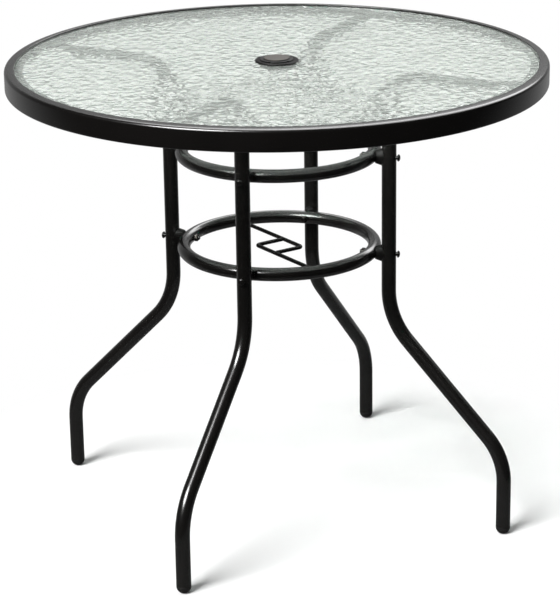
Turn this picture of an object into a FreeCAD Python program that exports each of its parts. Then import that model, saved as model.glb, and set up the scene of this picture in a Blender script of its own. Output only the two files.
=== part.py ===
import FreeCAD, Part
import math
import os

os.makedirs("parts", exist_ok=True)

# A round garden table with a hole for an umbrella pole. Millimetres, +Z up.
# The origin is on the floor under the middle of the top. The front leg's upright stands on the -Y side.

# Overall form
table_height = 710.0
rim_radius = 404.0
leg_count = 4
ring_height = {"upper": 570.5, "lower": 420.5}

# Drawing of round forms: flats round a tube, a pin, a hub and the rim, and round a screw's end,
# runs round a ring, angle of a bend's step
tube_sides = 12
pin_sides = 8
hub_sides = 32
rim_sides = 60
tongue_sides = 24
ring_runs = 36
bend_step_angle = 18.0

# How far a corner may lie off a face's plane
flatness = 0.00001

# Fits between pieces
seat_gap = 0.15
slip_gap = 0.3
thread_gap = 0.05
hole_gap = 0.3

# Rolled steel rim
rim_height = 33.0
rim_width = 15.0
rim_wall = 1.2
rim_top_round = 3.0
rim_bottom_bevel = 2.5
rim_lip_bevel = 1.2

# Ledge inside the rim that the glass lies on
ledge_width = 13.0
ledge_wall = 1.5

# Glass disc and its clear pads
glass_thickness = 5.0
glass_recess = 3.0
glass_edge_gap = 0.8
glass_bevel = 1.0
pad_count = 8
pad_radius = 4.0
pad_thickness = 1.0

# Bent leg tube. The bend plane is turned from the radial line through the upright.
leg_radius = 11.0
leg_wall = 1.2
leg_angle = -11.2
foot_inset = 38.85
foot_corner_height = 124.5
knee_corner_height = 318.0
foot_bend_radius = 97.0
knee_bend_radius = 108.0
arm_bend_radius = 52.0

# Pressed flat end of the leg, under the rim
tongue_length = 27.0
tongue_width = 31.0
press_length = 24.0
arm_drop = 6.3
tongue_end_gap = 0.6

# Plate under the ledge that the pressed end is screwed to
plate_thickness = 4.0
plate_width = 38.0

# Screw that holds the pressed end
screw_radius = 3.0
screw_head_radius = 6.0
screw_head_height = 3.6
screw_bevel = 1.2

# Plug in the leg's lower end
foot_height = 5.0
foot_flat_radius = 7.0
foot_round = 2.5
foot_plug_length = 16.0
foot_plug_wall = 1.6

# Rings that tie the legs together
ring_reach = 145.5
ring_radius = 10.0

# Saddle block that keeps a ring off a leg
ring_gap = 6.4
saddle_leg_width = 20.0
saddle_leg_height = 26.0
saddle_ring_width = 16.0
saddle_ring_height = 17.0

# Bolt through leg, saddle and ring, and its nut
bolt_radius = 3.0
bolt_head_radius = 5.3
bolt_head_height = 3.6
bolt_stand_off = 2.5
bolt_tail = 2.4
bolt_bevel = 0.8
nut_width = 10.0
nut_height = 5.0
nut_bevel = 0.7

# Two bent rods in the lower ring that frame the umbrella pole
rod_radius = 3.0
rod_drop = 2.5
rod_angle = -38.0
rod_spacing = 50.0
arm_spacing = 49.5
rod_bend_radius = 6.0

# Flanged collar in the glass for the umbrella pole
pole_bore_radius = 20.0
collar_flange_radius = 32.75
collar_flange_thickness = 2.2
collar_flange_bevel = 0.8
collar_barrel_wall = 4.2
collar_depth = 20.0
cap_seat_wall = 2.0
cap_seat_depth = 6.0
collar_lug_angles = (-98.5, -32.5)
collar_lug_width = 8.0
collar_lug_reach = 1.6
collar_lug_height = 1.4

# Cap that closes the collar
cap_head_radius = 25.0
cap_head_height = 3.4
cap_round = 1.2
cap_plug_depth = 4.8
cap_wall = 2.0
cap_notch_width = 5.0
cap_notch_depth = 1.6

# Worked out from the sizes above
up = FreeCAD.Vector(0, 0, 1)
rim_inner = rim_radius - rim_width
rim_bottom = table_height - rim_height
glass_top_height = table_height - glass_recess
glass_bottom = glass_top_height - glass_thickness
glass_radius = rim_inner - glass_edge_gap
ledge_top = glass_bottom - pad_thickness
ledge_bottom = ledge_top - ledge_wall
ledge_inner = rim_inner - ledge_width
plate_bottom = ledge_bottom - plate_thickness
tongue_thickness = 2 * leg_wall
tongue_middle = plate_bottom - tongue_thickness / 2
arm_height = tongue_middle - arm_drop
barrel_radius = pole_bore_radius + collar_barrel_wall
glass_hole = barrel_radius + 2 * slip_gap
cap_seat_radius = barrel_radius - cap_seat_wall
collar_top = glass_top_height + collar_flange_thickness
collar_bottom = glass_top_height - collar_depth
upright_reach = ring_reach + ring_radius + ring_gap + leg_radius


def circle_point(radius, degrees, height=0.0):
    """Point at a radius and a turn from +X about the Z axis."""
    angle = math.radians(degrees)
    return FreeCAD.Vector(radius * math.cos(angle), radius * math.sin(angle), height)


def corner_radius(radius, sides):
    """Corner radius of the many-sided section with the area of a round one."""
    half = math.pi / sides
    return radius * math.sqrt(half / (math.sin(half) * math.cos(half)))


def flat_radius(radius, sides):
    """Distance from the middle of that section to its flats."""
    return corner_radius(radius, sides) * math.cos(math.pi / sides)


def corner_angles(sides):
    """Turns of a section's corners, with a flat facing each quarter."""
    return [(k + 0.5) * 2 * math.pi / sides for k in range(sides)]


def round_section(radius, sides=tube_sides):
    """Corners of a round section, as offsets along its normal and its side."""
    corner = corner_radius(radius, sides)
    return [(corner * math.cos(a), corner * math.sin(a)) for a in corner_angles(sides)]


def clipped(value):
    return max(-1.0, min(1.0, value))


def pressed_section(thickness, width):
    """The same corners on a tube that is pressed flat: two wide faces and thin rounded edges."""
    face_share = 1.5
    edge_share = 1.04
    return [
        (thickness / 2 * clipped(face_share * math.cos(a)), width / 2 * clipped(edge_share * math.sin(a)))
        for a in corner_angles(tube_sides)
    ]


def heading(start, end):
    return math.atan2(end[1] - start[1], end[0] - start[0])


def route(corners, radii):
    """Stations (along, across, heading) on straight runs joined by arcs, in the route's own plane."""
    stations = [(*corners[0], heading(corners[0], corners[1]))]
    for before, corner, after, radius in zip(corners, corners[1:], corners[2:], radii):
        inward, outward = heading(before, corner), heading(corner, after)
        turn = (outward - inward + math.pi) % (2 * math.pi) - math.pi
        side = math.copysign(radius, turn)
        tangent = radius * math.tan(abs(turn) / 2)
        centre = (
            corner[0] - tangent * math.cos(inward) - side * math.sin(inward),
            corner[1] - tangent * math.sin(inward) + side * math.cos(inward),
        )
        steps = math.ceil(round(abs(math.degrees(turn)) / bend_step_angle, 6))
        for step in range(steps + 1):
            way = inward + turn * step / steps
            stations.append((centre[0] + side * math.sin(way), centre[1] - side * math.cos(way), way))
    stations.append((*corners[-1], heading(corners[-2], corners[-1])))
    return stations


def closed_wire(points):
    return Part.makePolygon(points + points[:1])


def wall(a, b, c, d):
    """Corners of the flat faces between two loops: one quad, or two triangles where it is twisted."""
    off_plane = abs((b - a).cross(d - a).normalize().dot(c - a))
    if off_plane < flatness:
        return [[a, b, c, d]]
    return [[a, b, c], [a, c, d]]


def solid_through(loops):
    """Solid with flat faces through loops that have the same number of corners."""
    walls = [loops[0], loops[-1]]
    for low, high in zip(loops, loops[1:]):
        for k in range(len(low)):
            walls += wall(low[k - 1], low[k], high[k], high[k - 1])
    shell = Part.makeShell([Part.Face(closed_wire(corners)) for corners in walls])
    shell.sewShape()
    return Part.makeSolid(shell)


def station_loop(station, section, origin, along, across):
    """A section set square to the route at a station, in the plane of the along and across directions."""
    a, b, way = station
    normal = across * math.cos(way) - along * math.sin(way)
    side = along.cross(across)
    middle = origin + along * a + across * b
    return [middle + normal * n + side * s for n, s in section]


def sweep(stations, sections, origin, along, across):
    """Solid through one section at each station."""
    return solid_through([
        station_loop(station, section, origin, along, across)
        for station, section in zip(stations, sections)
    ])


def stack(levels, sides):
    """Solid up the Z axis through round sections at (radius, height). Equal heights make a step."""
    return solid_through([
        [FreeCAD.Vector(x, y, height) for x, y in round_section(radius, sides)]
        for radius, height in levels
    ]).removeSplitter()


def pin(radius, length):
    return stack([(radius, 0), (radius, length)], pin_sides)


def rounded_corner(radius, height, size, steps):
    """Profile points up a quarter circle whose middle is at (radius, height)."""
    turns = [math.radians(90.0 * k / steps) for k in range(steps + 1)]
    return [(radius + size * math.cos(t), height + size * math.sin(t)) for t in turns]


def around(shape, count):
    """Copies of a shape turned about Z, as separate solids."""
    return [turned(shape, 360.0 * index / count) for index in range(count)]


def turned(shape, degrees):
    copy = shape.copy()
    copy.rotate(FreeCAD.Vector(), up, degrees)
    return copy


def write(name, shapes):
    """One file for a piece, or for a group of like pieces as separate solids."""
    solids = [solid for shape in shapes for solid in shape.Solids]
    shape = solids[0] if len(solids) == 1 else Part.makeCompound(solids)
    shape.exportStep("parts/" + name + ".step")


# The front leg's upright, and the directions that its pieces follow
upright = circle_point(upright_reach, -90)
outward = circle_point(1.0, -90)
bend_way = circle_point(1.0, -90 + leg_angle)
bend_side = bend_way.cross(up)


def leg_place(reach, height=0.0):
    """Point over the front leg's bend line, at a reach from its upright."""
    return upright + bend_way * reach + up * height


def reach_to(radius):
    """Reach along the bend line at which the leg meets a circle about the table's middle."""
    across = upright.dot(bend_way)
    return -across + math.sqrt(radius**2 - upright_reach**2 + across**2)


foot_reach = reach_to(rim_radius - foot_inset)
tongue_end = reach_to(rim_inner) - tongue_end_gap
screw_reach = tongue_end - tongue_width / 2
press_end = tongue_end - tongue_length
press_start = press_end - press_length


def laid_out(shape, reach, height):
    """A piece drawn up the Z axis, laid along the front leg's outward line."""
    laid = shape.copy()
    laid.rotate(FreeCAD.Vector(), FreeCAD.Vector(1, 0, 0), 90)
    laid.translate(outward * reach + up * height)
    return laid


def leg_route():
    """Stations from the foot, up the slanted run and the upright, and out along the arm."""
    corners = [
        (foot_reach, foot_height),
        (foot_reach, foot_corner_height),
        (0.0, knee_corner_height),
        (0.0, arm_height),
        (press_start, arm_height),
    ]
    return route(corners, [foot_bend_radius, knee_bend_radius, arm_bend_radius])


def leg():
    """Hollow bent tube, pressed flat at its upper end and drilled for two bolts and a screw."""
    stations = leg_route()
    flat = pressed_section(tongue_thickness, tongue_width)
    pressed = [(press_end, tongue_middle, 0.0), (tongue_end, tongue_middle, 0.0)]
    outer = [round_section(leg_radius)] * len(stations) + [flat, flat]
    inner = [round_section(leg_radius - leg_wall)] * len(stations)
    tube = sweep(stations + pressed, outer, upright, bend_way, up)
    tube = tube.cut(sweep(stations, inner, upright, bend_way, up))
    tube = tube.cut(tongue_waste())
    bolt_drill = pin(bolt_radius + hole_gap, 4 * leg_radius)
    for height in ring_height.values():
        tube = tube.cut(laid_out(bolt_drill, upright_reach - 2 * leg_radius, height))
    drill = pin(screw_radius + hole_gap, 2 * tongue_thickness)
    drill.translate(leg_place(screw_reach, plate_bottom - 1.5 * tongue_thickness))
    return tube.cut(drill)


def tongue_waste():
    """What is cut from the pressed end to round it about its screw hole."""
    half = tongue_width / 2
    middle = leg_place(screw_reach, plate_bottom - 1.5 * tongue_thickness)
    near, far = middle, middle + bend_way * 2 * half
    corners = [near - bend_side * 2 * half, near + bend_side * 2 * half]
    corners += [far + bend_side * 2 * half, far - bend_side * 2 * half]
    waste = Part.Face(closed_wire(corners)).extrude(up * 2 * tongue_thickness)
    disc = stack([(half, 0), (half, 2 * tongue_thickness)], tongue_sides)
    disc.rotate(FreeCAD.Vector(), up, leg_angle)
    disc.translate(middle)
    return waste.cut(disc)


def rim():
    """Hollow rolled rim with a rounded outer edge and the ledge for the glass inside it."""
    top = rounded_corner(rim_radius - rim_top_round, table_height - rim_top_round, rim_top_round, 3)
    outside = [(rim_radius - rim_bottom_bevel, rim_bottom), (rim_radius, rim_bottom + rim_bottom_bevel)]
    inside = [
        (rim_inner, rim_bottom),
        (rim_inner, ledge_bottom),
        (ledge_inner, ledge_bottom),
        (ledge_inner, ledge_top),
        (rim_inner, ledge_top),
        (rim_inner, table_height - rim_lip_bevel),
        (rim_inner + rim_lip_bevel, table_height),
    ]
    near, far = rim_inner + rim_wall, rim_radius - rim_wall
    low, high = rim_bottom + rim_wall, table_height - rim_wall
    corner = rim_top_round - rim_wall
    hollow = stack([(far, low), (far, high - corner), (far - corner, high)], rim_sides)
    hollow = hollow.cut(stack([(near, low), (near, high)], rim_sides))
    return stack(outside + top, rim_sides).cut(stack(inside, rim_sides)).cut(hollow)


def glass():
    """Tempered glass disc with bevelled edges and a hole for the collar."""
    disc = stack([
        (glass_radius - glass_bevel, glass_bottom),
        (glass_radius, glass_bottom + glass_bevel),
        (glass_radius, glass_top_height - glass_bevel),
        (glass_radius - glass_bevel, glass_top_height),
    ], rim_sides)
    return disc.cut(stack([(glass_hole, glass_bottom), (glass_hole, glass_top_height)], hub_sides))


def pad():
    """Clear disc on the ledge under the glass, half way between two legs."""
    disc = pin(pad_radius, pad_thickness)
    disc.translate(circle_point((ledge_inner + rim_inner) / 2, 180.0 / pad_count, ledge_top))
    return disc


def leg_plate():
    """Threaded steel plate under the ledge, over the front leg's pressed end."""
    near, far = leg_place(press_end + slip_gap), leg_place(tongue_end + plate_width)
    corners = [near - bend_side * plate_width / 2, near + bend_side * plate_width / 2]
    corners += [far + bend_side * plate_width / 2, far - bend_side * plate_width / 2]
    blank = Part.Face(closed_wire(corners)).extrude(up * plate_thickness)
    inside = stack([(rim_inner - seat_gap, 0), (rim_inner - seat_gap, plate_thickness)], rim_sides)
    plate = blank.common(inside)
    thread = pin(screw_radius + thread_gap, plate_thickness)
    thread.translate(leg_place(screw_reach))
    plate = plate.cut(thread)
    plate.translate(up * plate_bottom)
    return plate


def headed_pin(radius, length, head_radius, head_height, bevel):
    """Screw or bolt up the Z axis from its tip at the origin, with a domed head on top."""
    return stack([
        (radius - bevel / 2, 0),
        (radius, bevel / 2),
        (radius, length),
        (head_radius, length),
        (head_radius, length + head_height / 3),
        (head_radius - 2 * bevel, length + head_height),
    ], pin_sides)


def leg_screw():
    """Screw from below through the pressed end into the plate, its head down."""
    length = tongue_thickness + plate_thickness - slip_gap
    screw = headed_pin(screw_radius, length, screw_head_radius, screw_head_height, screw_bevel)
    screw.rotate(FreeCAD.Vector(), FreeCAD.Vector(1, 0, 0), 180)
    screw.translate(leg_place(screw_reach, plate_bottom + plate_thickness - slip_gap))
    return screw


def foot_cap():
    """Plug in the leg's open end, with a rounded tread the size of the tube."""
    plug = leg_radius - leg_wall - seat_gap
    bore = plug - foot_plug_wall
    plug_top = foot_height + foot_plug_length
    cap = stack([
        (foot_flat_radius, 0),
        (leg_radius - foot_round / 2, foot_round / 3),
        (leg_radius, foot_round),
        (leg_radius, foot_height),
        (plug, foot_height),
        (plug, plug_top),
    ], tube_sides)
    cap = cap.cut(stack([(bore, foot_height), (bore, plug_top)], tube_sides))
    cap.rotate(FreeCAD.Vector(), up, leg_angle)
    cap.translate(leg_place(foot_reach))
    return cap


def ring_body(height, grow=0.0):
    """Ring as one closed tube of short straight runs, grown by a gap."""
    section = round_section(ring_radius + grow)
    turn = 360.0 / ring_runs
    reach = ring_reach * corner_radius(1.0, ring_runs)
    wires = []
    for run in range(ring_runs):
        way = circle_point(1.0, (run + 0.5) * turn)
        wires.append(closed_wire([way * (reach + n) + up * (height + side) for n, side in section]))
    return Part.makeLoft(wires, True, True, True)


def tie_ring(height):
    """Ring tube drilled for its bolts."""
    ring = ring_body(height)
    drill = pin(bolt_radius + hole_gap, 4 * ring_radius)
    for hole in around(laid_out(drill, ring_reach - 2 * ring_radius, height), leg_count):
        ring = ring.cut(hole)
    return ring


def saddle(height):
    """Block that fills the space between a ring and the front leg, hollowed to seat on both."""
    ends = [(ring_reach, saddle_ring_width, saddle_ring_height)]
    ends += [(upright_reach, saddle_leg_width, saddle_leg_height)]
    side = outward.cross(up)
    wires = []
    for reach, width, tall in ends:
        middle = outward * reach + up * height
        wires.append(closed_wire([
            middle + side * width / 2 * math.cos(a) + up * tall / 2 * math.sin(a)
            for a in corner_angles(pin_sides)
        ]))
    block = Part.makeLoft(wires, True, True)
    block = block.cut(ring_body(height, seat_gap))
    span = [(0.0, height - saddle_leg_height, math.pi / 2), (0.0, height + saddle_leg_height, math.pi / 2)]
    leg_space = [round_section(leg_radius + seat_gap)] * 2
    block = block.cut(sweep(span, leg_space, upright, bend_way, up))
    drill = pin(bolt_radius + hole_gap, upright_reach - ring_reach)
    block = block.cut(laid_out(drill, ring_reach, height))
    return max(block.Solids, key=lambda solid: solid.Volume)


def nut_seat():
    """Reach at which a nut's face meets the ring's inner side."""
    return ring_reach - flat_radius(ring_radius, tube_sides)


def ring_bolt(height):
    """Bolt from outside the front leg through saddle and ring, to a nut inside the ring."""
    tip = nut_seat() - nut_height - bolt_tail
    under_head = upright_reach + leg_radius + bolt_stand_off
    bolt = headed_pin(bolt_radius, under_head - tip, bolt_head_radius, bolt_head_height, bolt_bevel)
    return laid_out(bolt, tip, height)


def ring_nut(height):
    """Hexagon nut, bevelled on its free side."""
    sides = 6
    corner = nut_width / 2 / math.cos(math.pi / sides)
    levels = [(corner - nut_bevel, 0), (corner, nut_bevel), (corner, nut_height)]
    wires = [
        closed_wire([circle_point(radius, 360.0 * k / sides, level) for k in range(sides)])
        for radius, level in levels
    ]
    nut = Part.makeLoft(wires, True, True).cut(pin(bolt_radius + thread_gap, nut_height))
    return laid_out(nut, nut_seat() - seat_gap - nut_height, height)


def pole_rod(turns):
    """Rod from the ring along one side of the pole and back behind it, to end on the other rod."""
    half, reach = rod_spacing / 2, arm_spacing / 2
    start = -math.sqrt((ring_reach - ring_radius / 2) ** 2 - half**2)
    corners = [(start, half), (reach, half), (reach, -half + rod_radius + seat_gap)]
    stations = route(corners, [rod_bend_radius])
    along = circle_point(1.0, rod_angle)
    across = up.cross(along)
    height = ring_height["lower"] - rod_drop
    sections = [round_section(rod_radius, pin_sides)] * len(stations)
    rod = sweep(stations, sections, up * height, along, across)
    rod = rod.cut(ring_body(ring_height["lower"], seat_gap))
    rod = max(rod.Solids, key=lambda solid: solid.Volume)
    return turned(rod, 180.0 * turns)


def collar():
    """Flanged sleeve that hangs in the glass, bored for the pole, with a wider seat for the cap."""
    bevel = collar_flange_bevel
    sleeve = stack([
        (barrel_radius - bevel, collar_bottom),
        (barrel_radius, collar_bottom + bevel),
        (barrel_radius, glass_top_height),
        (collar_flange_radius, glass_top_height),
        (collar_flange_radius, collar_top - bevel),
        (collar_flange_radius - bevel, collar_top),
    ], hub_sides)
    for degrees in collar_lug_angles:
        sleeve = sleeve.fuse(collar_lug(degrees))
    seat_bottom = collar_top - cap_seat_depth
    sleeve = sleeve.cut(stack([(cap_seat_radius, seat_bottom), (cap_seat_radius, collar_top)], hub_sides))
    bore = Part.makeCylinder(pole_bore_radius, collar_depth, FreeCAD.Vector(0, 0, collar_bottom))
    return sleeve.cut(bore).removeSplitter()


def collar_lug(degrees):
    """Small square lug on the flange's edge."""
    length = collar_flange_radius + collar_lug_reach - barrel_radius
    lug = Part.makeBox(length, collar_lug_width, collar_lug_height)
    lug.translate(FreeCAD.Vector(barrel_radius, -collar_lug_width / 2, glass_top_height))
    return turned(lug, degrees)


def cap():
    """Round cap with a hollow plug below and two notches to lift it by."""
    plug = cap_seat_radius - slip_gap
    plug_bottom = collar_top - cap_plug_depth
    top = collar_top + cap_head_height
    lid = stack([
        (plug, plug_bottom),
        (plug, collar_top),
        (cap_head_radius, collar_top),
        (cap_head_radius, top - cap_round),
        (cap_head_radius - cap_round, top),
    ], hub_sides)
    lid = lid.cut(stack([(plug - cap_wall, plug_bottom), (plug - cap_wall, top - cap_wall)], hub_sides))
    notch_reach = cap_head_radius + cap_notch_width / 2 - cap_notch_depth
    for degrees in collar_lug_angles:
        notch = pin(cap_notch_width / 2, cap_head_height)
        notch.translate(circle_point(notch_reach, degrees, collar_top))
        lid = lid.cut(notch)
    return lid


def main():
    sides = ("front", "right", "back", "left")
    legs, feet = around(leg(), leg_count), around(foot_cap(), leg_count)
    for side, one_leg, one_foot in zip(sides, legs, feet):
        write("leg_" + side, [one_leg])
        write("foot_cap_" + side, [one_foot])
    write("rim_frame", [rim()])
    write("glass_top", [glass()])
    write("glass_pads", around(pad(), pad_count))
    write("rim_leg_plates", around(leg_plate(), leg_count))
    write("leg_screws", around(leg_screw(), leg_count))
    for level, height in ring_height.items():
        write(level + "_ring", [tie_ring(height)])
        write(level + "_ring_saddles", around(saddle(height), leg_count))
        write(level + "_ring_bolts", around(ring_bolt(height), leg_count))
        write(level + "_ring_nuts", around(ring_nut(height), leg_count))
    write("pole_rod_left", [pole_rod(0)])
    write("pole_rod_right", [pole_rod(1)])
    write("umbrella_collar", [collar()])
    write("umbrella_cap", [cap()])


main()
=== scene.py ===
import math

import bpy
from mathutils import Matrix, Vector


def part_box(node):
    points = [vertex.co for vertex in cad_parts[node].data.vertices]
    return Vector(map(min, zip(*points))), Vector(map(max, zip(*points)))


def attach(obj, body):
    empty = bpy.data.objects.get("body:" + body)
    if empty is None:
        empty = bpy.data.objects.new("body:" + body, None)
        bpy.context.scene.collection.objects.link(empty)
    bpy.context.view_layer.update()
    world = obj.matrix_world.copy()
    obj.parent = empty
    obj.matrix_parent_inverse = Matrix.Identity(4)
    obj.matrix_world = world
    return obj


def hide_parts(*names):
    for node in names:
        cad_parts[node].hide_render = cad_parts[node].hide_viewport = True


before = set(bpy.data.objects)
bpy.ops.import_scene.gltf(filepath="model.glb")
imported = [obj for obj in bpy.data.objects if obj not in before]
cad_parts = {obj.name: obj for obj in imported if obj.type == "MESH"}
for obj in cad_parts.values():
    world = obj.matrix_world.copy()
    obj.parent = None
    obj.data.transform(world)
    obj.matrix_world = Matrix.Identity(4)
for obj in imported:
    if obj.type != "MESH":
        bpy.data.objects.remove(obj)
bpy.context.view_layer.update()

MM = 0.001
UP = Vector((0, 0, 1))
LEG_SIDES = ("front", "right", "back", "left")
LEG_COUNT = len(LEG_SIDES)

# Sizes in millimetres. Rounds, domes and the rim's crown are finer than in the solids.
SEAT_GAP = 0.15
SLIP_GAP = 0.3
AXIS_RADIUS = 0.001

TABLE_HEIGHT = 710.0
RIM_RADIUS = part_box("rim_frame")[1].x / MM
RIM_INNER = 389.0
RIM_HEIGHT = 33.0
RIM_OUTER_ROUND = 5.0
RIM_LIP_ROUND = 1.0
RIM_LOW_ROUND = 3.0
CROWN_FALL = 1.1
LEDGE_INNER = 376.0
LEDGE_TOP = 701.0
LEDGE_BOTTOM = 699.5
PLATE_BOTTOM = 695.5

GLASS_TOP = 707.0
GLASS_THICKNESS = 5.0
GLASS_BOTTOM = GLASS_TOP - GLASS_THICKNESS
GLASS_MIDDLE = GLASS_TOP - GLASS_THICKNESS / 2
GLASS_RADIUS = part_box("glass_top")[1].x / MM
GLASS_BEVEL = 1.0

LEG_RADIUS = 11.0
UPRIGHT_REACH = 172.9
LEG_ANGLE = -11.2
FOOT_CIRCLE = 365.15
FOOT_CORNER_HEIGHT = 124.5
KNEE_CORNER_HEIGHT = 318.0
LEG_BEND_RADII = (97.0, 108.0, 52.0)
TONGUE_THICKNESS = 2.4
TONGUE_WIDTH = 31.0
TONGUE_LENGTH = 27.0
TONGUE_END_GAP = 0.6
TONGUE_END_TURN = 84.0
PRESS_LENGTH = 24.0
ARM_DROP = 6.3

TUBE_END = 11.5
FOOT_DOME = 10.5
FOOT_FLAT = 1.5
FOOT_BEVEL_WIDTH = 0.35
FOOT_BEVEL_HEIGHT = 0.5

RING_HEIGHTS = {"upper": 570.5, "lower": 420.5}
RING_REACH = 145.5
RING_RADIUS = 10.0
SADDLE_LEG_SIZE = (20.0, 26.0)
SADDLE_RING_SIZE = (16.0, 17.0)

BOLT_RADIUS = 3.0
BOLT_TIP_BEVEL = 0.5
BOLT_HEAD_RADIUS = 5.3
BOLT_HEAD_HEIGHT = 3.6
BOLT_HEAD_BEVEL = 0.3
BOLT_HEAD_EDGE = 0.9
BOLT_STAND_OFF = 2.5
BOLT_TAIL = 2.4
NUT_WIDTH = 10.0
NUT_HEIGHT = 5.0
NUT_SINK = 0.3
NUT_BEVEL_WIDTH = 0.9
NUT_BEVEL_HEIGHT = 0.6

ROD_RADIUS = 3.0
ROD_DROP = 2.5
ROD_ANGLE = -38.0
ROD_SPACING = 50.0
ARM_SPACING = 49.5
ROD_BEND_RADIUS = 6.0

POLE_BORE_RADIUS = 20.0
BARREL_RADIUS = 24.2
BARREL_BEVEL = 0.8
COLLAR_DEPTH = 20.0
FLANGE_RADIUS = 32.7
FLANGE_THICKNESS = 2.2
FLANGE_ROUND = 1.4
FLANGE_FOOT = 0.2
FLANGE_TOP = GLASS_TOP + FLANGE_THICKNESS
LUG_ANGLES = (-98.5, -32.5)
LUG_WIDTH = 8.0
LUG_HEIGHT = 1.4
LUG_ROOT = 2.0
LUG_REACH = 1.6
LUG_BEVEL = 0.4

CAP_SEAT_RADIUS = 22.2
CAP_SEAT_DEPTH = 6.0
CAP_PLUG_DEPTH = 4.8
CAP_WALL = 2.0
CAP_RADIUS = 24.95
CAP_HEAD_HEIGHT = 3.4
CAP_FOOT = 0.2
CAP_BRIM = 1.5
CAP_BRIM_ROUND = 0.9
CAP_DISC = 19.5
CAP_DISC_FOOT = 0.4
CAP_DISC_ROUND = 1.0
# How far below the cap's top the painted reflection on its disc reaches
CAP_PAINTED_REFLECTION_DEPTH = 0.9
NOTCH_WIDTH = 5.0
NOTCH_DEPTH = 1.6

# Steps round turned forms and tubes
RIM_STEPS = 240
RING_STEPS = 180
COLLAR_STEPS = 120
CAP_STEPS = 360
FOOT_STEPS = 40
BOLT_STEPS = 32
LEG_TUBE_SIDES = 40
RING_TUBE_SIDES = 36
ROD_TUBE_SIDES = 24
SADDLE_SIDES = 40
SADDLE_LOOPS = 8
PRESS_LOOPS = 10
END_STEPS = 12
BOLT_DOME_STEPS = 8
NUT_CORNERS = 6
FLOOR_CORNERS = 96

# Noise as (scale, detail), and how paint, skin and steel vary with it
TONE_NOISE = (14.0, 4.0)
TONE_BAND = (0.3, 0.7)
GLOSS_NOISE = (55.0, 5.0)
PEEL_DETAIL = 2.0
PEEL_DEPTH = 0.0004
PAINT_GRAIN, PAINT_BUMP = 900.0, 0.06
SKIN_GRAIN, SKIN_BUMP = 1600.0, 0.12
COAT_ROUGHNESS = 0.2
STREAK_NOISE = (260.0, 4.0)
STREAK_STRETCH = (1, 1, 6)
STREAK_BAND = (0.25, 0.75)
STEEL_ROUGHNESS = (0.28, 0.5)

# Rippled glass. Painted shade and painted light on a cell's two flanks tint what shines through
# and the milky share.
CELL_SCALE = 84.0
CELL_STRETCH = (1.0, 1.25, 1.0)
CELL_SMOOTHNESS = 0.12
CELL_SWAY_NOISE = (55.0, 1.5)
CELL_SWAY = 0.009
CELL_STEP = 0.0011
SLOPE_RANGE = 0.16
SLOPE_BAND = (0.15, 0.42)
GLASS_PAINTED_SHADE = (0.0, 0.02, 0.008)
GLASS_PAINTED_LIGHT = (0.91, 0.98, 0.91)
GLASS_CLEAR = (0.97, 0.985, 0.972)
GLASS_SHADOW = (0.995, 1.0, 0.997)
GLASS_ROUGHNESS = 0.045
GLASS_IOR = 1.45
RIPPLE_DEPTH = 0.003
RIPPLE_STRENGTH = 0.55
MILK_PAINTED_SHADE = (0.36, 0.43, 0.38)
MILK_PAINTED_LIGHT = (0.93, 0.99, 0.935)
MILK_SHARE = 0.168

# Studio in metres and degrees. A place is (right, away, up) as the camera stands.
STUDIO_TURN = Matrix.Rotation(math.radians(17.49), 4, "Z")
FLOOR_RADIUS = 0.62
SHADOW_REACH = 0.40
FLOOR_COLOUR = 0.86
FLOOR_LIFT = 0.035
MIRRORED_FLOOR = 0.10
AMBIENT = 0.04
MIRRORED_FRONT = 0.02
MIRRORED_BACK = 0.24
MIRRORED_BANK = 3.8
OVERHEAD_PLACE, OVERHEAD_SPREAD, OVERHEAD_STRENGTH = (0.0, 0.5, 2.9), 30.0, 0.30
KEY_PLACE, KEY_SPREAD, KEY_STRENGTH = (-1.95, -2.05, 2.7), 29.0, 4.1

# Glows of the sky. A way is a turn to the right and a rise, and a border is two cosines of the
# angle from the middle: where the glow starts and where it is full.
BACK_GLOW_WAY, BACK_GLOW_BORDER = (0.0, -28.6), (0.1, 1.0)
BANK_GLOW_WAY, BANK_GLOW_BORDER = (25.0, 55.0), (0.80, 0.89)

# Camera fitted to the photograph's rim and legs. The focal length counts image heights.
CAMERA_DISTANCE = 3.448814
CAMERA_HEIGHT = 1.523769
CAMERA_PITCH = 0.333082
CAMERA_ROLL = 0.013798
FOCAL_LENGTH = 2371.591 / 600
SENSOR_HEIGHT = 24.0


# Mesh helpers
def compass(radius, degrees, height=0.0):
    """Point at a radius and a turn from +X about the Z axis."""
    angle = math.radians(degrees)
    return Vector((radius * math.cos(angle), radius * math.sin(angle), height))


def make_piece(name, shape, material, node, body="table", sharp=35.0):
    """A mesh from points in millimetres that stands for a CAD node and rides on its body."""
    points, faces = shape
    mesh = bpy.data.meshes.new(name)
    mesh.from_pydata([tuple(point * MM) for point in points], [], faces)
    mesh.validate()
    mesh.polygons.foreach_set("use_smooth", [True] * len(mesh.polygons))
    mesh.set_sharp_from_angle(angle=math.radians(sharp))
    mesh.materials.append(material)
    piece = bpy.data.objects.new(name, mesh)
    bpy.context.scene.collection.objects.link(piece)
    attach(piece, body)
    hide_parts(node)


def skin(loops, caps=True):
    """Points and faces of a surface through loops with the same number of points."""
    count = len(loops[0])
    points = [point for loop in loops for point in loop]
    last = (len(loops) - 1) * count
    faces = []
    for low in range(0, last, count):
        high = low + count
        for k in range(count):
            after = (k + 1) % count
            faces.append((low + k, low + after, high + after, high + k))
    if caps:
        faces.append(tuple(reversed(range(count))))
        faces.append(tuple(last + k for k in range(count)))
    return points, faces


def lathe(profile, segments, closed=True):
    """Points and faces turned about Z from (radius, height) corners."""
    count = len(profile)
    points = []
    for k in range(segments):
        points += [compass(r, 360.0 * k / segments, z) for r, z in profile]
    faces = []
    for k in range(segments):
        here, there = k * count, (k + 1) % segments * count
        for j in range(count if closed else count - 1):
            after = (j + 1) % count
            faces.append((here + j, there + j, there + after, here + after))
    return points, faces


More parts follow.
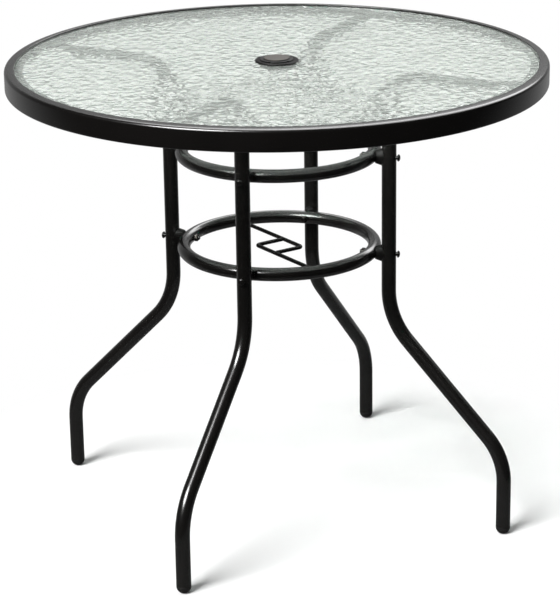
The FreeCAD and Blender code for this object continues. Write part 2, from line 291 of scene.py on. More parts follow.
def arc(radius, height, size, start, end, steps=6):
    """Profile points round part of a circle whose middle is at (radius, height)."""
    turns = [math.radians(start + (end - start) * k / steps) for k in range(steps + 1)]
    return [(radius + size * math.cos(t), height + size * math.sin(t)) for t in turns]


def moved(shape, matrix):
    """A shape with its points moved by a matrix."""
    points, faces = shape
    return [matrix @ point for point in points], faces


def joined(shapes):
    """Several shapes as one."""
    all_points, all_faces = [], []
    for points, faces in shapes:
        start = len(all_points)
        all_points += points
        all_faces += [tuple(start + i for i in face) for face in faces]
    return all_points, all_faces


def around(shape, count):
    """Copies of a shape turned about Z."""
    turns = [Matrix.Rotation(math.radians(360.0 * k / count), 4, "Z") for k in range(count)]
    return [moved(shape, turn) for turn in turns]


def heading(start, end):
    """Angle of the line between two points of a plane."""
    return math.atan2(end[1] - start[1], end[0] - start[0])


def route(corners, radii, step=4.0):
    """Stations (along, across, heading) on straight runs joined by arcs."""
    stations = [(*corners[0], heading(corners[0], corners[1]))]
    for before, corner, after, radius in zip(corners, corners[1:], corners[2:], radii):
        inward, outward = heading(before, corner), heading(corner, after)
        turn = (outward - inward + math.pi) % (2 * math.pi) - math.pi
        side = math.copysign(radius, turn)
        tangent = radius * math.tan(abs(turn) / 2)
        centre_along = corner[0] - tangent * math.cos(inward) - side * math.sin(inward)
        centre_across = corner[1] - tangent * math.sin(inward) + side * math.cos(inward)
        steps = math.ceil(abs(math.degrees(turn)) / step)
        for k in range(steps + 1):
            way = inward + turn * k / steps
            along = centre_along + side * math.sin(way)
            across = centre_across - side * math.cos(way)
            stations.append((along, across, way))
    stations.append((*corners[-1], heading(corners[-2], corners[-1])))
    return stations


def section_loop(station, section, origin, along, across):
    """A section set square to a route at a station."""
    a, b, way = station
    normal = across * math.cos(way) - along * math.sin(way)
    side = along.cross(across)
    middle = origin + along * a + across * b
    return [middle + normal * n + side * s for n, s in section]


def round_section(radius, sides):
    """A round tube's section."""
    turns = [2 * math.pi * k / sides for k in range(sides)]
    return [(radius * math.cos(t), radius * math.sin(t)) for t in turns]


def pressed_section(thickness, width, sides=LEG_TUBE_SIDES):
    """A tube's section pressed flat: two wide faces and thin rounded edges."""
    flatness, fullness = 1.5, 1.04
    section = []
    for k in range(sides):
        turn = 2 * math.pi * k / sides
        flat = max(-1.0, min(1.0, flatness * math.cos(turn)))
        wide = max(-1.0, min(1.0, fullness * math.sin(turn)))
        section.append((thickness / 2 * flat, width / 2 * wide))
    return section


def mixed(a, b, share):
    """Value at a share of the way from a to b."""
    return a + (b - a) * share


def eased(share):
    """A share that starts and ends gently."""
    return share * share * (3 - 2 * share)


# Places taken from the front leg
FRONT = -90.0
UPRIGHT = compass(UPRIGHT_REACH, FRONT)
OUTWARD = compass(1.0, FRONT)
BEND_WAY = compass(1.0, FRONT + LEG_ANGLE)


def reach_to(radius):
    """Reach along the leg's bend line at which it meets a circle about the middle."""
    across = UPRIGHT.dot(BEND_WAY)
    return -across + math.sqrt(radius**2 - UPRIGHT_REACH**2 + across**2)


FOOT_REACH = reach_to(FOOT_CIRCLE)
TONGUE_END = reach_to(RIM_INNER) - TONGUE_END_GAP
SCREW_REACH = TONGUE_END - TONGUE_WIDTH / 2
PRESS_END = TONGUE_END - TONGUE_LENGTH
PRESS_START = PRESS_END - PRESS_LENGTH
TONGUE_MIDDLE = PLATE_BOTTOM - TONGUE_THICKNESS / 2
ARM_HEIGHT = TONGUE_MIDDLE - ARM_DROP


# Node helpers
def set_input(links, socket, value):
    """Sets an input to a number or a colour, or links it to an output."""
    if isinstance(value, bpy.types.NodeSocket):
        links.new(value, socket)
    elif isinstance(value, tuple):
        socket.default_value = (*value, 1)
    else:
        socket.default_value = value


def add_math(nodes, links, operation, first, second):
    """A sum, difference, product, comparison or larger value of two outputs or numbers."""
    node = nodes.new("ShaderNodeMath")
    node.operation = operation
    set_input(links, node.inputs[0], first)
    set_input(links, node.inputs[1], second)
    return node.outputs["Value"]


def add_noise(nodes, links, scale, detail, stretch=(1, 1, 1)):
    """Noise in object space, with an optional stretch."""
    where = nodes.new("ShaderNodeTexCoord")
    mapping = nodes.new("ShaderNodeMapping")
    mapping.inputs["Scale"].default_value = stretch
    noise = nodes.new("ShaderNodeTexNoise")
    noise.inputs["Scale"].default_value = scale
    noise.inputs["Detail"].default_value = detail
    links.new(where.outputs["Object"], mapping.inputs["Vector"])
    links.new(mapping.outputs["Vector"], noise.inputs["Vector"])
    return noise.outputs["Fac"]


def add_ramp(nodes, links, source, band, low_colour, high_colour):
    """Colour that goes from one to another over a band of a value."""
    ramp = nodes.new("ShaderNodeValToRGB")
    for element, position, colour in zip(ramp.color_ramp.elements, band, (low_colour, high_colour)):
        element.position = position
        element.color = (*colour, 1)
    links.new(source, ramp.inputs["Fac"])
    return ramp.outputs["Color"]


def add_range(nodes, links, source, span):
    """A value from 0 to 1 spread over a span."""
    spread = nodes.new("ShaderNodeMapRange")
    spread.inputs["To Min"].default_value, spread.inputs["To Max"].default_value = span
    links.new(source, spread.inputs["Value"])
    return spread.outputs["Result"]


def add_colour_mix(nodes, links, factor, first, second):
    """Mix of two colours, each an output or plain values."""
    mix = nodes.new("ShaderNodeMixRGB")
    links.new(factor, mix.inputs["Fac"])
    set_input(links, mix.inputs["Color1"], first)
    set_input(links, mix.inputs["Color2"], second)
    return mix.outputs["Color"]


def add_shader_mix(nodes, links, factor, first, second):
    """Mix of two shaders."""
    mix = nodes.new("ShaderNodeMixShader")
    links.new(factor, mix.inputs["Fac"])
    links.new(first, mix.inputs[1])
    links.new(second, mix.inputs[2])
    return mix.outputs["Shader"]


def add_diffuse(nodes, level):
    """Matt shader of a plain grey."""
    shader = nodes.new("ShaderNodeBsdfDiffuse")
    shader.inputs["Color"].default_value = (level, level, level, 1)
    return shader.outputs["BSDF"]


def height_of(nodes, links):
    """Height of the shaded point, in metres."""
    where = nodes.new("ShaderNodeTexCoord")
    parts = nodes.new("ShaderNodeSeparateXYZ")
    links.new(where.outputs["Object"], parts.inputs["Vector"])
    return parts.outputs["Z"]


# Materials
def new_material(name):
    """Material with one principled shader."""
    material = bpy.data.materials.new(name)
    material.use_nodes = True
    nodes, links = material.node_tree.nodes, material.node_tree.links
    nodes.clear()
    output = nodes.new("ShaderNodeOutputMaterial")
    shader = nodes.new("ShaderNodeBsdfPrincipled")
    links.new(shader.outputs["BSDF"], output.inputs["Surface"])
    return material, nodes, links, shader, output


def paint(name, dark, light, rough, grain=PAINT_GRAIN, bump=PAINT_BUMP, coat=0.0):
    """Sprayed metal paint: fine orange peel, small changes of tone and gloss."""
    material, nodes, links, shader, _ = new_material(name)
    tone = add_noise(nodes, links, *TONE_NOISE)
    links.new(add_ramp(nodes, links, tone, TONE_BAND, dark, light), shader.inputs["Base Color"])
    gloss = add_noise(nodes, links, *GLOSS_NOISE)
    links.new(add_range(nodes, links, gloss, rough), shader.inputs["Roughness"])
    relief = nodes.new("ShaderNodeBump")
    relief.inputs["Strength"].default_value = bump
    relief.inputs["Distance"].default_value = PEEL_DEPTH
    links.new(add_noise(nodes, links, grain, PEEL_DETAIL), relief.inputs["Height"])
    links.new(relief.outputs["Normal"], shader.inputs["Normal"])
    shader.inputs["Coat Weight"].default_value = coat
    shader.inputs["Coat Roughness"].default_value = COAT_ROUGHNESS
    return material


def plastic(name, dark, light, rough, shine=0.5):
    """Moulded plastic with a fine skin texture."""
    material = paint(name, dark, light, rough, SKIN_GRAIN, SKIN_BUMP)
    shader = material.node_tree.nodes["Principled BSDF"]
    shader.inputs["Specular IOR Level"].default_value = shine
    return material


def plated_steel(name, dark, light):
    """Zinc-plated steel with faint streaks."""
    material, nodes, links, shader, _ = new_material(name)
    shader.inputs["Metallic"].default_value = 1.0
    tone = add_noise(nodes, links, *STREAK_NOISE, STREAK_STRETCH)
    links.new(add_ramp(nodes, links, tone, STREAK_BAND, dark, light), shader.inputs["Base Color"])
    links.new(add_range(nodes, links, tone, STEEL_ROUGHNESS), shader.inputs["Roughness"])
    return material


def add_cells(nodes, links, shift):
    """Height of the glass's hammered cells, read at a shifted place."""
    where = nodes.new("ShaderNodeTexCoord")
    place = nodes.new("ShaderNodeVectorMath")
    place.operation = "ADD"
    place.inputs[1].default_value = shift
    links.new(where.outputs["Object"], place.inputs[0])
    sway = nodes.new("ShaderNodeTexNoise")
    sway.inputs["Scale"].default_value, sway.inputs["Detail"].default_value = CELL_SWAY_NOISE
    links.new(place.outputs["Vector"], sway.inputs["Vector"])
    bent = nodes.new("ShaderNodeMixRGB")
    bent.blend_type = "LINEAR_LIGHT"
    bent.inputs["Fac"].default_value = CELL_SWAY
    links.new(place.outputs["Vector"], bent.inputs["Color1"])
    links.new(sway.outputs["Color"], bent.inputs["Color2"])
    stretched = nodes.new("ShaderNodeMapping")
    stretched.vector_type = "TEXTURE"
    stretched.inputs["Rotation"].default_value = STUDIO_TURN.to_euler()
    stretched.inputs["Scale"].default_value = CELL_STRETCH
    links.new(bent.outputs["Color"], stretched.inputs["Vector"])
    cells = nodes.new("ShaderNodeTexVoronoi")
    cells.feature = "SMOOTH_F1"
    cells.voronoi_dimensions = "2D"
    cells.inputs["Scale"].default_value = CELL_SCALE
    cells.inputs["Smoothness"].default_value = CELL_SMOOTHNESS
    links.new(stretched.outputs["Vector"], cells.inputs["Vector"])
    return cells.outputs["Distance"]


def rippled_glass(name):
    """Tempered glass, clear above and hammered below, where it is slightly milky."""
    material, nodes, links, shader, output = new_material(name)
    lower = add_math(nodes, links, "LESS_THAN", height_of(nodes, links), GLASS_MIDDLE * MM)
    step = STUDIO_TURN @ Vector((0, CELL_STEP, 0))
    near, far = add_cells(nodes, links, -step), add_cells(nodes, links, step)
    slope = nodes.new("ShaderNodeMapRange")
    slope.inputs["From Min"].default_value = -SLOPE_RANGE
    slope.inputs["From Max"].default_value = SLOPE_RANGE
    links.new(add_math(nodes, links, "SUBTRACT", far, near), slope.inputs["Value"])
    flank = slope.outputs["Result"]
    # Painted shade and painted light: one flank of each cell is tinted dark and the other bright.
    painted_flank_shading = add_ramp(nodes, links, flank, SLOPE_BAND, GLASS_PAINTED_SHADE, GLASS_PAINTED_LIGHT)
    tint = add_colour_mix(nodes, links, lower, GLASS_CLEAR, painted_flank_shading)
    links.new(tint, shader.inputs["Base Color"])
    relief = nodes.new("ShaderNodeBump")
    relief.inputs["Distance"].default_value = RIPPLE_DEPTH
    strength = add_math(nodes, links, "MULTIPLY", lower, RIPPLE_STRENGTH)
    links.new(strength, relief.inputs["Strength"])
    links.new(near, relief.inputs["Height"])
    links.new(relief.outputs["Normal"], shader.inputs["Normal"])
    shader.inputs["Transmission Weight"].default_value = 1.0
    shader.inputs["Roughness"].default_value = GLASS_ROUGHNESS
    shader.inputs["IOR"].default_value = GLASS_IOR
    milk = nodes.new("ShaderNodeBsdfDiffuse")
    # The milk's colour carries the same painted shade and painted light on the cells' flanks.
    milk_painted_shading = add_ramp(nodes, links, flank, SLOPE_BAND, MILK_PAINTED_SHADE, MILK_PAINTED_LIGHT)
    links.new(milk_painted_shading, milk.inputs["Color"])
    links.new(relief.outputs["Normal"], milk.inputs["Normal"])
    share = add_math(nodes, links, "MULTIPLY", lower, MILK_SHARE)
    glass = add_shader_mix(nodes, links, share, shader.outputs["BSDF"], milk.outputs["BSDF"])
    clear = nodes.new("ShaderNodeBsdfTransparent")
    clear.inputs["Color"].default_value = (*GLASS_SHADOW, 1)
    shaded = nodes.new("ShaderNodeLightPath").outputs["Is Shadow Ray"]
    surface = add_shader_mix(nodes, links, shaded, glass, clear.outputs["BSDF"])
    links.new(surface, output.inputs["Surface"])
    return material


def colour_below(material, height, colour):
    """Gives a material another colour below a height in millimetres."""
    nodes, links = material.node_tree.nodes, material.node_tree.links
    base = nodes["Principled BSDF"].inputs["Base Color"]
    above = base.links[0].from_socket
    low = add_math(nodes, links, "LESS_THAN", height_of(nodes, links), height * MM)
    links.new(add_colour_mix(nodes, links, low, above, colour), base)


RIM_PAINT = paint(
    "rim_paint", (0.0045, 0.0040, 0.0037), (0.0065, 0.0057, 0.0053), (0.20, 0.27), coat=1.0)
LEG_PAINT = paint(
    "leg_paint", (0.0050, 0.0046, 0.0042), (0.0070, 0.0064, 0.0058), (0.20, 0.26), coat=1.0)
RING_PAINT = paint(
    "ring_paint", (0.0042, 0.0038, 0.0035), (0.0058, 0.0052, 0.0048), (0.13, 0.19), coat=1.0)
ROD_PAINT = paint(
    "rod_paint", (0.0030, 0.0027, 0.0025), (0.0045, 0.0040, 0.0037), (0.18, 0.26))
PLATE_PAINT = paint(
    "plate_paint", (0.010, 0.0085, 0.0078), (0.014, 0.012, 0.011), (0.34, 0.46))
SADDLE_PLASTIC = plastic(
    "saddle_plastic", (0.0035, 0.0032, 0.0030), (0.0055, 0.0051, 0.0048), (0.32, 0.44), 0.2)
FOOT_PLASTIC = plastic(
    "foot_plastic", (0.009, 0.0086, 0.0082), (0.014, 0.0133, 0.0128), (0.40, 0.52), 0.3)
PAD_PLASTIC = plastic(
    "pad_plastic", (0.55, 0.58, 0.56), (0.65, 0.68, 0.66), (0.35, 0.45))
BOLT_STEEL = paint(
    "bolt_steel", (0.005, 0.0046, 0.0043), (0.009, 0.0083, 0.0078), (0.16, 0.26))
NUT_STEEL = plated_steel("nut_steel", (0.018, 0.017, 0.0155), (0.036, 0.034, 0.031))
SCREW_STEEL = plated_steel("screw_steel", (0.34, 0.33, 0.31), (0.50, 0.48, 0.45))
COLLAR_PLASTIC = plastic(
    "collar_plastic", (0.004, 0.0038, 0.0036), (0.006, 0.0056, 0.0053), (0.20, 0.30), 0.15)
# The cap is black below; its top disc is drawn lighter as a painted reflection of the light it
# mirrors.
CAP_PLASTIC_WITH_PAINTED_REFLECTION = plastic(
    "cap_plastic", (0.082, 0.076, 0.067), (0.106, 0.099, 0.088), (0.34, 0.46), 0.25)
colour_below(CAP_PLASTIC_WITH_PAINTED_REFLECTION, FLANGE_TOP + CAP_HEAD_HEIGHT - CAP_PAINTED_REFLECTION_DEPTH, (0.004, 0.0038, 0.0036))
GLASS = rippled_glass("glass_rippled")


# Pieces
def build_rim():
    """Rolled rim with its rounded outer edge and the ledge for the glass."""
    bottom = TABLE_HEIGHT - RIM_HEIGHT
    shoulder = TABLE_HEIGHT - CROWN_FALL - RIM_OUTER_ROUND
    profile = arc(RIM_RADIUS - RIM_LOW_ROUND, bottom + RIM_LOW_ROUND, RIM_LOW_ROUND, -90, 0)
    profile += arc(RIM_RADIUS - RIM_OUTER_ROUND, shoulder, RIM_OUTER_ROUND, 0, 90, steps=12)
    profile += arc(RIM_INNER + RIM_LIP_ROUND, TABLE_HEIGHT - RIM_LIP_ROUND, RIM_LIP_ROUND, 90, 180)
    profile += [(RIM_INNER, LEDGE_TOP), (LEDGE_INNER, LEDGE_TOP), (LEDGE_INNER, LEDGE_BOTTOM)]
    profile += [(RIM_INNER, LEDGE_BOTTOM), (RIM_INNER, bottom)]
    make_piece("rim_rolled", lathe(profile, RIM_STEPS), RIM_PAINT, "rim_frame")


def build_glass():
    """Glass disc with ground edges and a round hole."""
    hole, ground = BARREL_RADIUS + 2 * SLIP_GAP, GLASS_RADIUS - GLASS_BEVEL
    profile = [
        (hole, GLASS_BOTTOM),
        (ground, GLASS_BOTTOM),
        (GLASS_RADIUS, GLASS_BOTTOM + GLASS_BEVEL),
        (GLASS_RADIUS, GLASS_TOP - GLASS_BEVEL),
        (ground, GLASS_TOP),
        (hole, GLASS_TOP),
    ]
    make_piece("glass_disc", lathe(profile, RIM_STEPS), GLASS, "glass_top")


def leg_shape():
    """Front leg: bent tube whose upper end is pressed flat and rounded."""
    corners = [
        (FOOT_REACH, TUBE_END),
        (FOOT_REACH, FOOT_CORNER_HEIGHT),
        (0.0, KNEE_CORNER_HEIGHT),
        (0.0, ARM_HEIGHT),
        (PRESS_START, ARM_HEIGHT),
    ]
    stations = route(corners, LEG_BEND_RADII)
    tube = round_section(LEG_RADIUS, LEG_TUBE_SIDES)
    pressed = pressed_section(TONGUE_THICKNESS, TONGUE_WIDTH)
    sections = [tube] * len(stations)
    for k in range(1, PRESS_LOOPS + 1):
        share = eased(k / PRESS_LOOPS)
        reach = mixed(PRESS_START, PRESS_END, k / PRESS_LOOPS)
        stations.append((reach, mixed(ARM_HEIGHT, TONGUE_MIDDLE, share), 0.0))
        pairs = zip(tube, pressed)
        sections.append([(mixed(a, c, share), mixed(b, d, share)) for (a, b), (c, d) in pairs])
    for k in range(END_STEPS + 1):
        turn = math.radians(TONGUE_END_TURN * k / END_STEPS)
        reach = SCREW_REACH + TONGUE_WIDTH / 2 * math.sin(turn)
        stations.append((reach, TONGUE_MIDDLE, 0.0))
        sections.append(pressed_section(TONGUE_THICKNESS, TONGUE_WIDTH * math.cos(turn)))
    placed = zip(stations, sections)
    return skin([section_loop(st, section, UPRIGHT, BEND_WAY, UP) for st, section in placed])


def build_legs():
    """Four bent leg tubes."""
    for side, shape in zip(LEG_SIDES, around(leg_shape(), LEG_COUNT)):
        make_piece("leg_tube_" + side, shape, LEG_PAINT, "leg_" + side, sharp=50.0)


def build_feet():
    """Plugs in the legs' ends, with a domed tread that has a small flat."""
    profile = [(AXIS_RADIUS, 0.0)]
    for k in range(END_STEPS + 1):
        turn = math.radians(90.0 * k / END_STEPS)
        radius = FOOT_FLAT + (LEG_RADIUS - FOOT_FLAT) * math.sin(turn)
        profile.append((radius, FOOT_DOME * (1 - math.cos(turn))))
    profile += [(LEG_RADIUS, TUBE_END - FOOT_BEVEL_HEIGHT)]
    profile += [(LEG_RADIUS - FOOT_BEVEL_WIDTH, TUBE_END), (AXIS_RADIUS, TUBE_END)]
    place = Matrix.Translation(UPRIGHT + BEND_WAY * FOOT_REACH)
    foot = moved(lathe(profile, FOOT_STEPS), place)
    for side, shape in zip(LEG_SIDES, around(foot, LEG_COUNT)):
        make_piece("foot_" + side, shape, FOOT_PLASTIC, "foot_cap_" + side)


def build_rings():
    """Two tie rings of round tube."""
    for level, height in RING_HEIGHTS.items():
        section = round_section(RING_RADIUS, RING_TUBE_SIDES)
        shape = lathe([(RING_REACH + x, height + y) for x, y in section], RING_STEPS)
        make_piece(level + "_ring_tube", shape, RING_PAINT, level + "_ring")


def make_on_rings(shape_at, pieces, material, nodes, sharp=35.0):
    """One piece for each ring: the shape at its height, once for each leg."""
    for level, height in RING_HEIGHTS.items():
        shape = joined(around(shape_at(height), LEG_COUNT))
        make_piece(f"{level}_{pieces}", shape, material, f"{level}_ring_{nodes}", sharp=sharp)


def saddle_shape(height):
    """Block between the ring and the front leg, hollowed at both ends to seat on their tubes."""
    side = OUTWARD.cross(UP)
    loops = []
    for k in range(SADDLE_LOOPS + 1):
        share = k / SADDLE_LOOPS
        width = mixed(SADDLE_RING_SIZE[0], SADDLE_LEG_SIZE[0], share)
        tall = mixed(SADDLE_RING_SIZE[1], SADDLE_LEG_SIZE[1], share)
        loop = []
        for j in range(SADDLE_SIDES):
            turn = 2 * math.pi * j / SADDLE_SIDES
            across, rise = width / 2 * math.cos(turn), tall / 2 * math.sin(turn)
            ring_face = RING_REACH + math.sqrt(max(0.0, RING_RADIUS**2 - rise**2))
            leg_face = UPRIGHT_REACH - math.sqrt(max(0.0, LEG_RADIUS**2 - across**2))
            reach = mixed(ring_face + SEAT_GAP, leg_face - SEAT_GAP, share)
            loop.append(OUTWARD * reach + side * across + UP * (height + rise))
        loops.append(loop)
    return skin(loops, caps=False)


def build_saddles():
    """Saddle blocks between the rings and the legs."""
    make_on_rings(saddle_shape, "saddle_blocks", SADDLE_PLASTIC, "saddles")


def laid_out(shape, reach, height):
    """A shape drawn up the Z axis, laid along the front leg's outward line."""
    turn = Matrix.Rotation(math.radians(90), 4, "X")
    return moved(shape, Matrix.Translation(OUTWARD * reach + UP * height) @ turn)


def bolt_profile(length):
    """Half outline of a bolt with a domed head, from its tip."""
    edge, rise = length + BOLT_HEAD_EDGE, BOLT_HEAD_HEIGHT - BOLT_HEAD_EDGE
    profile = [
        (AXIS_RADIUS, 0),
        (BOLT_RADIUS - BOLT_TIP_BEVEL, 0),
        (BOLT_RADIUS, BOLT_TIP_BEVEL),
        (BOLT_RADIUS, length),
        (BOLT_HEAD_RADIUS - BOLT_HEAD_BEVEL, length),
        (BOLT_HEAD_RADIUS, length + BOLT_HEAD_BEVEL),
    ]
    for k in range(BOLT_DOME_STEPS):
        turn = math.radians(90.0 * k / BOLT_DOME_STEPS)
        profile.append((BOLT_HEAD_RADIUS * math.cos(turn), edge + rise * math.sin(turn)))
    return profile + [(AXIS_RADIUS, edge + rise)]


def build_bolts():
    """Bolts through leg, saddle and ring."""
    tip = RING_REACH - RING_RADIUS - NUT_HEIGHT - BOLT_TAIL
    length = UPRIGHT_REACH + LEG_RADIUS + BOLT_STAND_OFF - tip
    bolt = lathe(bolt_profile(length), BOLT_STEPS, closed=False)

    def bolt_at(height):
        return laid_out(bolt, tip, height)

    make_on_rings(bolt_at, "bolts", BOLT_STEEL, "bolts")


def nut_shape():
    """Hexagon nut with a bevelled free side."""
    corner = NUT_WIDTH / 2 / math.cos(math.pi / NUT_CORNERS)
    levels = [
        (BOLT_RADIUS, NUT_SINK),
        (corner - NUT_BEVEL_WIDTH, 0.0),
        (corner, NUT_BEVEL_HEIGHT),
        (corner, NUT_HEIGHT),
        (BOLT_RADIUS, NUT_HEIGHT),
    ]
    turns = [360.0 * k / NUT_CORNERS for k in range(NUT_CORNERS)]
    loops = [[compass(radius, turn, level) for turn in turns] for radius, level in levels]
    return skin(loops, caps=False)


def build_nuts():
    """Nuts on the rings' inner side."""
    reach = RING_REACH - RING_RADIUS - NUT_HEIGHT

    def nut_at(height):
        return laid_out(nut_shape(), reach, height)

    make_on_rings(nut_at, "nuts", NUT_STEEL, "nuts", sharp=20.0)


def build_rods():
    """Two bent rods in the lower ring that frame the umbrella pole."""
    half, reach = ROD_SPACING / 2, ARM_SPACING / 2
    start = -math.sqrt((RING_REACH - RING_RADIUS / 2) ** 2 - half**2)
    corners = [(start, half), (reach, half), (reach, -half + ROD_RADIUS)]
    along = compass(1.0, ROD_ANGLE)
    across = UP.cross(along)
    origin = UP * (RING_HEIGHTS["lower"] - ROD_DROP)
    section = round_section(ROD_RADIUS, ROD_TUBE_SIDES)
    stations = route(corners, [ROD_BEND_RADIUS], step=10.0)
    rod = skin([section_loop(st, section, origin, along, across) for st in stations])
    for node, shape in zip(("pole_rod_left", "pole_rod_right"), around(rod, 2)):
        make_piece(node + "_bar", shape, ROD_PAINT, node, sharp=50.0)


def lug_shape(degrees):
    """Small lug on the collar's flange, with softened edges."""
    near, far, half = FLANGE_RADIUS - LUG_ROOT, FLANGE_RADIUS + LUG_REACH, LUG_WIDTH / 2
    top = GLASS_TOP + LUG_HEIGHT
    loops = []
    for level, inset in ((GLASS_TOP, 0.0), (top - LUG_BEVEL, 0.0), (top, LUG_BEVEL)):
        outer, edge = far - inset, half - inset
        corners = ((near, -edge), (outer, -edge), (outer, edge), (near, edge))
        loops.append([Vector((x, y, level)) for x, y in corners])
    return moved(skin(loops), Matrix.Rotation(math.radians(degrees), 4, "Z"))


def build_collar():
    """Flanged sleeve with a wider seat for the cap."""
    low, seat = GLASS_TOP - COLLAR_DEPTH, FLANGE_TOP - CAP_SEAT_DEPTH
    profile = [(POLE_BORE_RADIUS, low), (BARREL_RADIUS - BARREL_BEVEL, low)]
    profile += [(BARREL_RADIUS, low + BARREL_BEVEL), (BARREL_RADIUS, GLASS_TOP)]
    profile += [(FLANGE_RADIUS - FLANGE_FOOT, GLASS_TOP)]
    flange_round = (FLANGE_RADIUS - FLANGE_ROUND, FLANGE_TOP - FLANGE_ROUND, FLANGE_ROUND)
    profile += arc(*flange_round, 0, 90, steps=8)
    profile += [(CAP_SEAT_RADIUS, FLANGE_TOP), (CAP_SEAT_RADIUS, seat), (POLE_BORE_RADIUS, seat)]
    lugs = [lug_shape(degrees) for degrees in LUG_ANGLES]
    shape = joined([lathe(profile, COLLAR_STEPS)] + lugs)
    make_piece("collar_sleeve", shape, COLLAR_PLASTIC, "umbrella_collar")


def notched(point):
    """A point of the cap, drawn in where a finger notch is cut in its edge."""
    half = NOTCH_WIDTH / 2
    reach = CAP_RADIUS + half - NOTCH_DEPTH
    radius = math.hypot(point.x, point.y)
    for degrees in LUG_ANGLES:
        toward = compass(1.0, degrees)
        along = (point.x * toward.x + point.y * toward.y) / radius
        off = reach * (point.x * toward.y - point.y * toward.x) / radius
        if along > 0 and abs(off) < half:
            near = reach * along - math.sqrt(half**2 - off**2)
            if radius > near:
                return Vector((point.x * near / radius, point.y * near / radius, point.z))
    return point


def build_cap():
    """Cap with a raised disc, two finger notches in its brim and a hollow plug."""
    top, brim = FLANGE_TOP + CAP_HEAD_HEIGHT, FLANGE_TOP + CAP_BRIM
    plug, plug_end = CAP_SEAT_RADIUS - SLIP_GAP, FLANGE_TOP - CAP_PLUG_DEPTH
    profile = [(AXIS_RADIUS, top - CAP_WALL), (plug - CAP_WALL, top - CAP_WALL)]
    profile += [(plug - CAP_WALL, plug_end), (plug, plug_end), (plug, FLANGE_TOP)]
    profile += [(CAP_RADIUS - CAP_FOOT, FLANGE_TOP)]
    brim_round = (CAP_RADIUS - CAP_BRIM_ROUND, brim - CAP_BRIM_ROUND, CAP_BRIM_ROUND)
    profile += arc(*brim_round, 0, 90)
    profile += [(CAP_DISC + CAP_DISC_FOOT, brim), (CAP_DISC, brim + CAP_DISC_FOOT)]
    disc_round = (CAP_DISC - CAP_DISC_ROUND, top - CAP_DISC_ROUND, CAP_DISC_ROUND)
    profile += arc(*disc_round, 0, 90, steps=8)
    profile += [(AXIS_RADIUS, top)]
    points, faces = lathe(profile, CAP_STEPS, closed=False)
    shape = [notched(point) for point in points], faces
    make_piece("cap_lid", shape, CAP_PLASTIC_WITH_PAINTED_REFLECTION, "umbrella_cap", body="cap")


def dress_nodes():
    """Small hidden nodes keep their solids and get their materials."""
    looks = {"glass_pads": PAD_PLASTIC, "rim_leg_plates": PLATE_PAINT, "leg_screws": SCREW_STEEL}
    for node, material in looks.items():
        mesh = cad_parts[node].data
        mesh.materials.clear()
        mesh.materials.append(material)


# Floor, light and camera
def aside(x, y, z):
    """Place in the studio, in metres: x to the camera's right, y away from it."""
    return STUDIO_TURN @ Vector((x, y, z))


def add_shadow_fade(nodes, links):
    """0 under the table and 1 where the floor ends."""
    where = nodes.new("ShaderNodeTexCoord")
    reach = nodes.new("ShaderNodeVectorMath")
    reach.operation = "LENGTH"
    links.new(where.outputs["Object"], reach.inputs[0])
    fade = nodes.new("ShaderNodeMapRange")
    fade.interpolation_type = "SMOOTHSTEP"
    fade.inputs["From Min"].default_value = SHADOW_REACH
    fade.inputs["From Max"].default_value = FLOOR_RADIUS
    links.new(reach.outputs["Value"], fade.inputs["Value"])
    return fade.outputs["Result"]


def floor_material():
    """White that keeps the shadows and fades out. Glass shows it plain, metal mirrors it dimmer."""
    material, nodes, links, shader, output = new_material("floor_white")
    shader.inputs["Base Color"].default_value = (FLOOR_COLOUR, FLOOR_COLOUR, FLOOR_COLOUR, 1)
    shader.inputs["Roughness"].default_value = 1.0
    shader.inputs["Specular IOR Level"].default_value = 0.0
    lift = nodes.new("ShaderNodeEmission")
    lift.inputs["Strength"].default_value = FLOOR_LIFT
    shadowed = nodes.new("ShaderNodeAddShader")
    links.new(add_diffuse(nodes, 1.0), shadowed.inputs[0])
    links.new(lift.outputs["Emission"], shadowed.inputs[1])
    white = nodes.new("ShaderNodeEmission").outputs["Emission"]
    fade = add_shadow_fade(nodes, links)
    seen = add_shader_mix(nodes, links, fade, shadowed.outputs["Shader"], white)
    path = nodes.new("ShaderNodeLightPath").outputs
    dim = add_diffuse(nodes, MIRRORED_FLOOR)
    others = add_shader_mix(nodes, links, path["Is Glossy Ray"], shader.outputs["BSDF"], dim)
    others = add_shader_mix(nodes, links, path["Is Transmission Ray"], others, white)
    surface = add_shader_mix(nodes, links, path["Is Camera Ray"], others, seen)
    links.new(surface, output.inputs["Surface"])
    return material


def build_floor():
    """Round white floor under the table."""
    mesh = bpy.data.meshes.new("floor")
    corners = [compass(FLOOR_RADIUS, 360.0 * k / FLOOR_CORNERS) for k in range(FLOOR_CORNERS)]
    mesh.from_pydata([tuple(corner) for corner in corners], [], [tuple(range(FLOOR_CORNERS))])
    floor = bpy.data.objects.new("floor", mesh)
    bpy.context.scene.collection.objects.link(floor)
    mesh.materials.append(floor_material())


def add_glow(nodes, links, way, border, strength):
    """Light from a round part of the sky, soft at its border."""
    turn, rise = map(math.radians, way)
    level = math.cos(rise)
    toward = aside(level * math.sin(turn), level * math.cos(turn), math.sin(rise))
    where = nodes.new("ShaderNodeTexCoord")
    depth = nodes.new("ShaderNodeVectorMath")
    depth.operation = "DOT_PRODUCT"
    depth.inputs[1].default_value = toward
    links.new(where.outputs["Generated"], depth.inputs[0])
    fall = nodes.new("ShaderNodeMapRange")
    fall.interpolation_type = "SMOOTHSTEP"
    fall.inputs["From Min"].default_value, fall.inputs["From Max"].default_value = border
    fall.inputs["To Max"].default_value = strength
    links.new(depth.outputs["Value"], fall.inputs["Value"])
    return fall.outputs["Result"]


def add_sky(nodes, links, strength):
    """White light from the sky, of a strength that is a number or an output."""
    sky = nodes.new("ShaderNodeBackground")
    sky.inputs["Color"].default_value = (1, 1, 1, 1)
    set_input(links, sky.inputs["Strength"], strength)
    return sky.outputs["Background"]


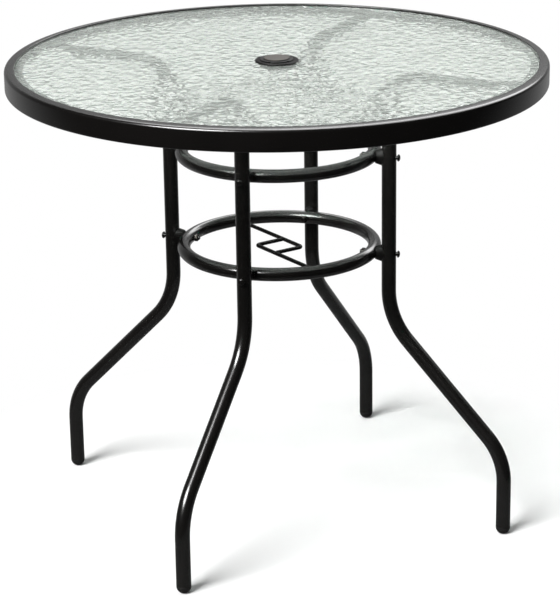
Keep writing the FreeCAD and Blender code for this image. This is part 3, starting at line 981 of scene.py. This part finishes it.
def build_world():
    """White behind the table, soft glows for the metal to mirror, and a little even light."""
    world = bpy.data.worlds.new("studio")
    world.use_nodes = True
    nodes, links = world.node_tree.nodes, world.node_tree.links
    nodes.clear()
    output = nodes.new("ShaderNodeOutputWorld")
    back = add_glow(nodes, links, BACK_GLOW_WAY, BACK_GLOW_BORDER, MIRRORED_BACK)
    bank = add_glow(nodes, links, BANK_GLOW_WAY, BANK_GLOW_BORDER, MIRRORED_BANK)
    both = add_math(nodes, links, "ADD", back, bank)
    level = add_math(nodes, links, "ADD", both, MIRRORED_FRONT)
    mirrored, ambient, white = (
        add_sky(nodes, links, strength) for strength in (level, AMBIENT, 1.0))
    path = nodes.new("ShaderNodeLightPath").outputs
    shown = add_math(nodes, links, "MAXIMUM", path["Is Camera Ray"], path["Is Transmission Ray"])
    light = add_shader_mix(nodes, links, path["Is Glossy Ray"], ambient, mirrored)
    surface = add_shader_mix(nodes, links, shown, light, white)
    links.new(surface, output.inputs["Surface"])
    bpy.context.scene.world = world


def add_soft_sun(name, place, spread, strength):
    """Even light that comes down from a place in the studio, with soft shadows."""
    data = bpy.data.lights.new(name, "SUN")
    data.angle = math.radians(spread)
    data.energy = strength
    lamp = bpy.data.objects.new(name, data)
    lamp.location = aside(*place)
    lamp.rotation_euler = lamp.location.to_track_quat("Z", "Y").to_euler()
    bpy.context.scene.collection.objects.link(lamp)


def build_camera():
    """Camera at the photograph's place and angle."""
    data = bpy.data.cameras.new("camera")
    data.sensor_fit = "VERTICAL"
    data.sensor_height = SENSOR_HEIGHT
    data.lens = FOCAL_LENGTH * SENSOR_HEIGHT
    camera = bpy.data.objects.new("camera", data)
    place = Matrix.Translation((0, -CAMERA_DISTANCE, CAMERA_HEIGHT))
    look = Matrix.Rotation(math.pi / 2 - CAMERA_PITCH, 4, "X")
    roll = Matrix.Rotation(-CAMERA_ROLL, 4, "Z")
    camera.matrix_world = STUDIO_TURN @ place @ look @ roll
    bpy.context.scene.collection.objects.link(camera)
    bpy.context.scene.camera = camera


build_rim()
build_glass()
build_legs()
build_feet()
build_rings()
build_saddles()
build_bolts()
build_nuts()
build_rods()
build_collar()
build_cap()
dress_nodes()
build_floor()
build_world()
add_soft_sun("overhead", OVERHEAD_PLACE, OVERHEAD_SPREAD, OVERHEAD_STRENGTH)
add_soft_sun("key", KEY_PLACE, KEY_SPREAD, KEY_STRENGTH)
build_camera()
bpy.context.scene.view_settings.view_transform = "Standard"
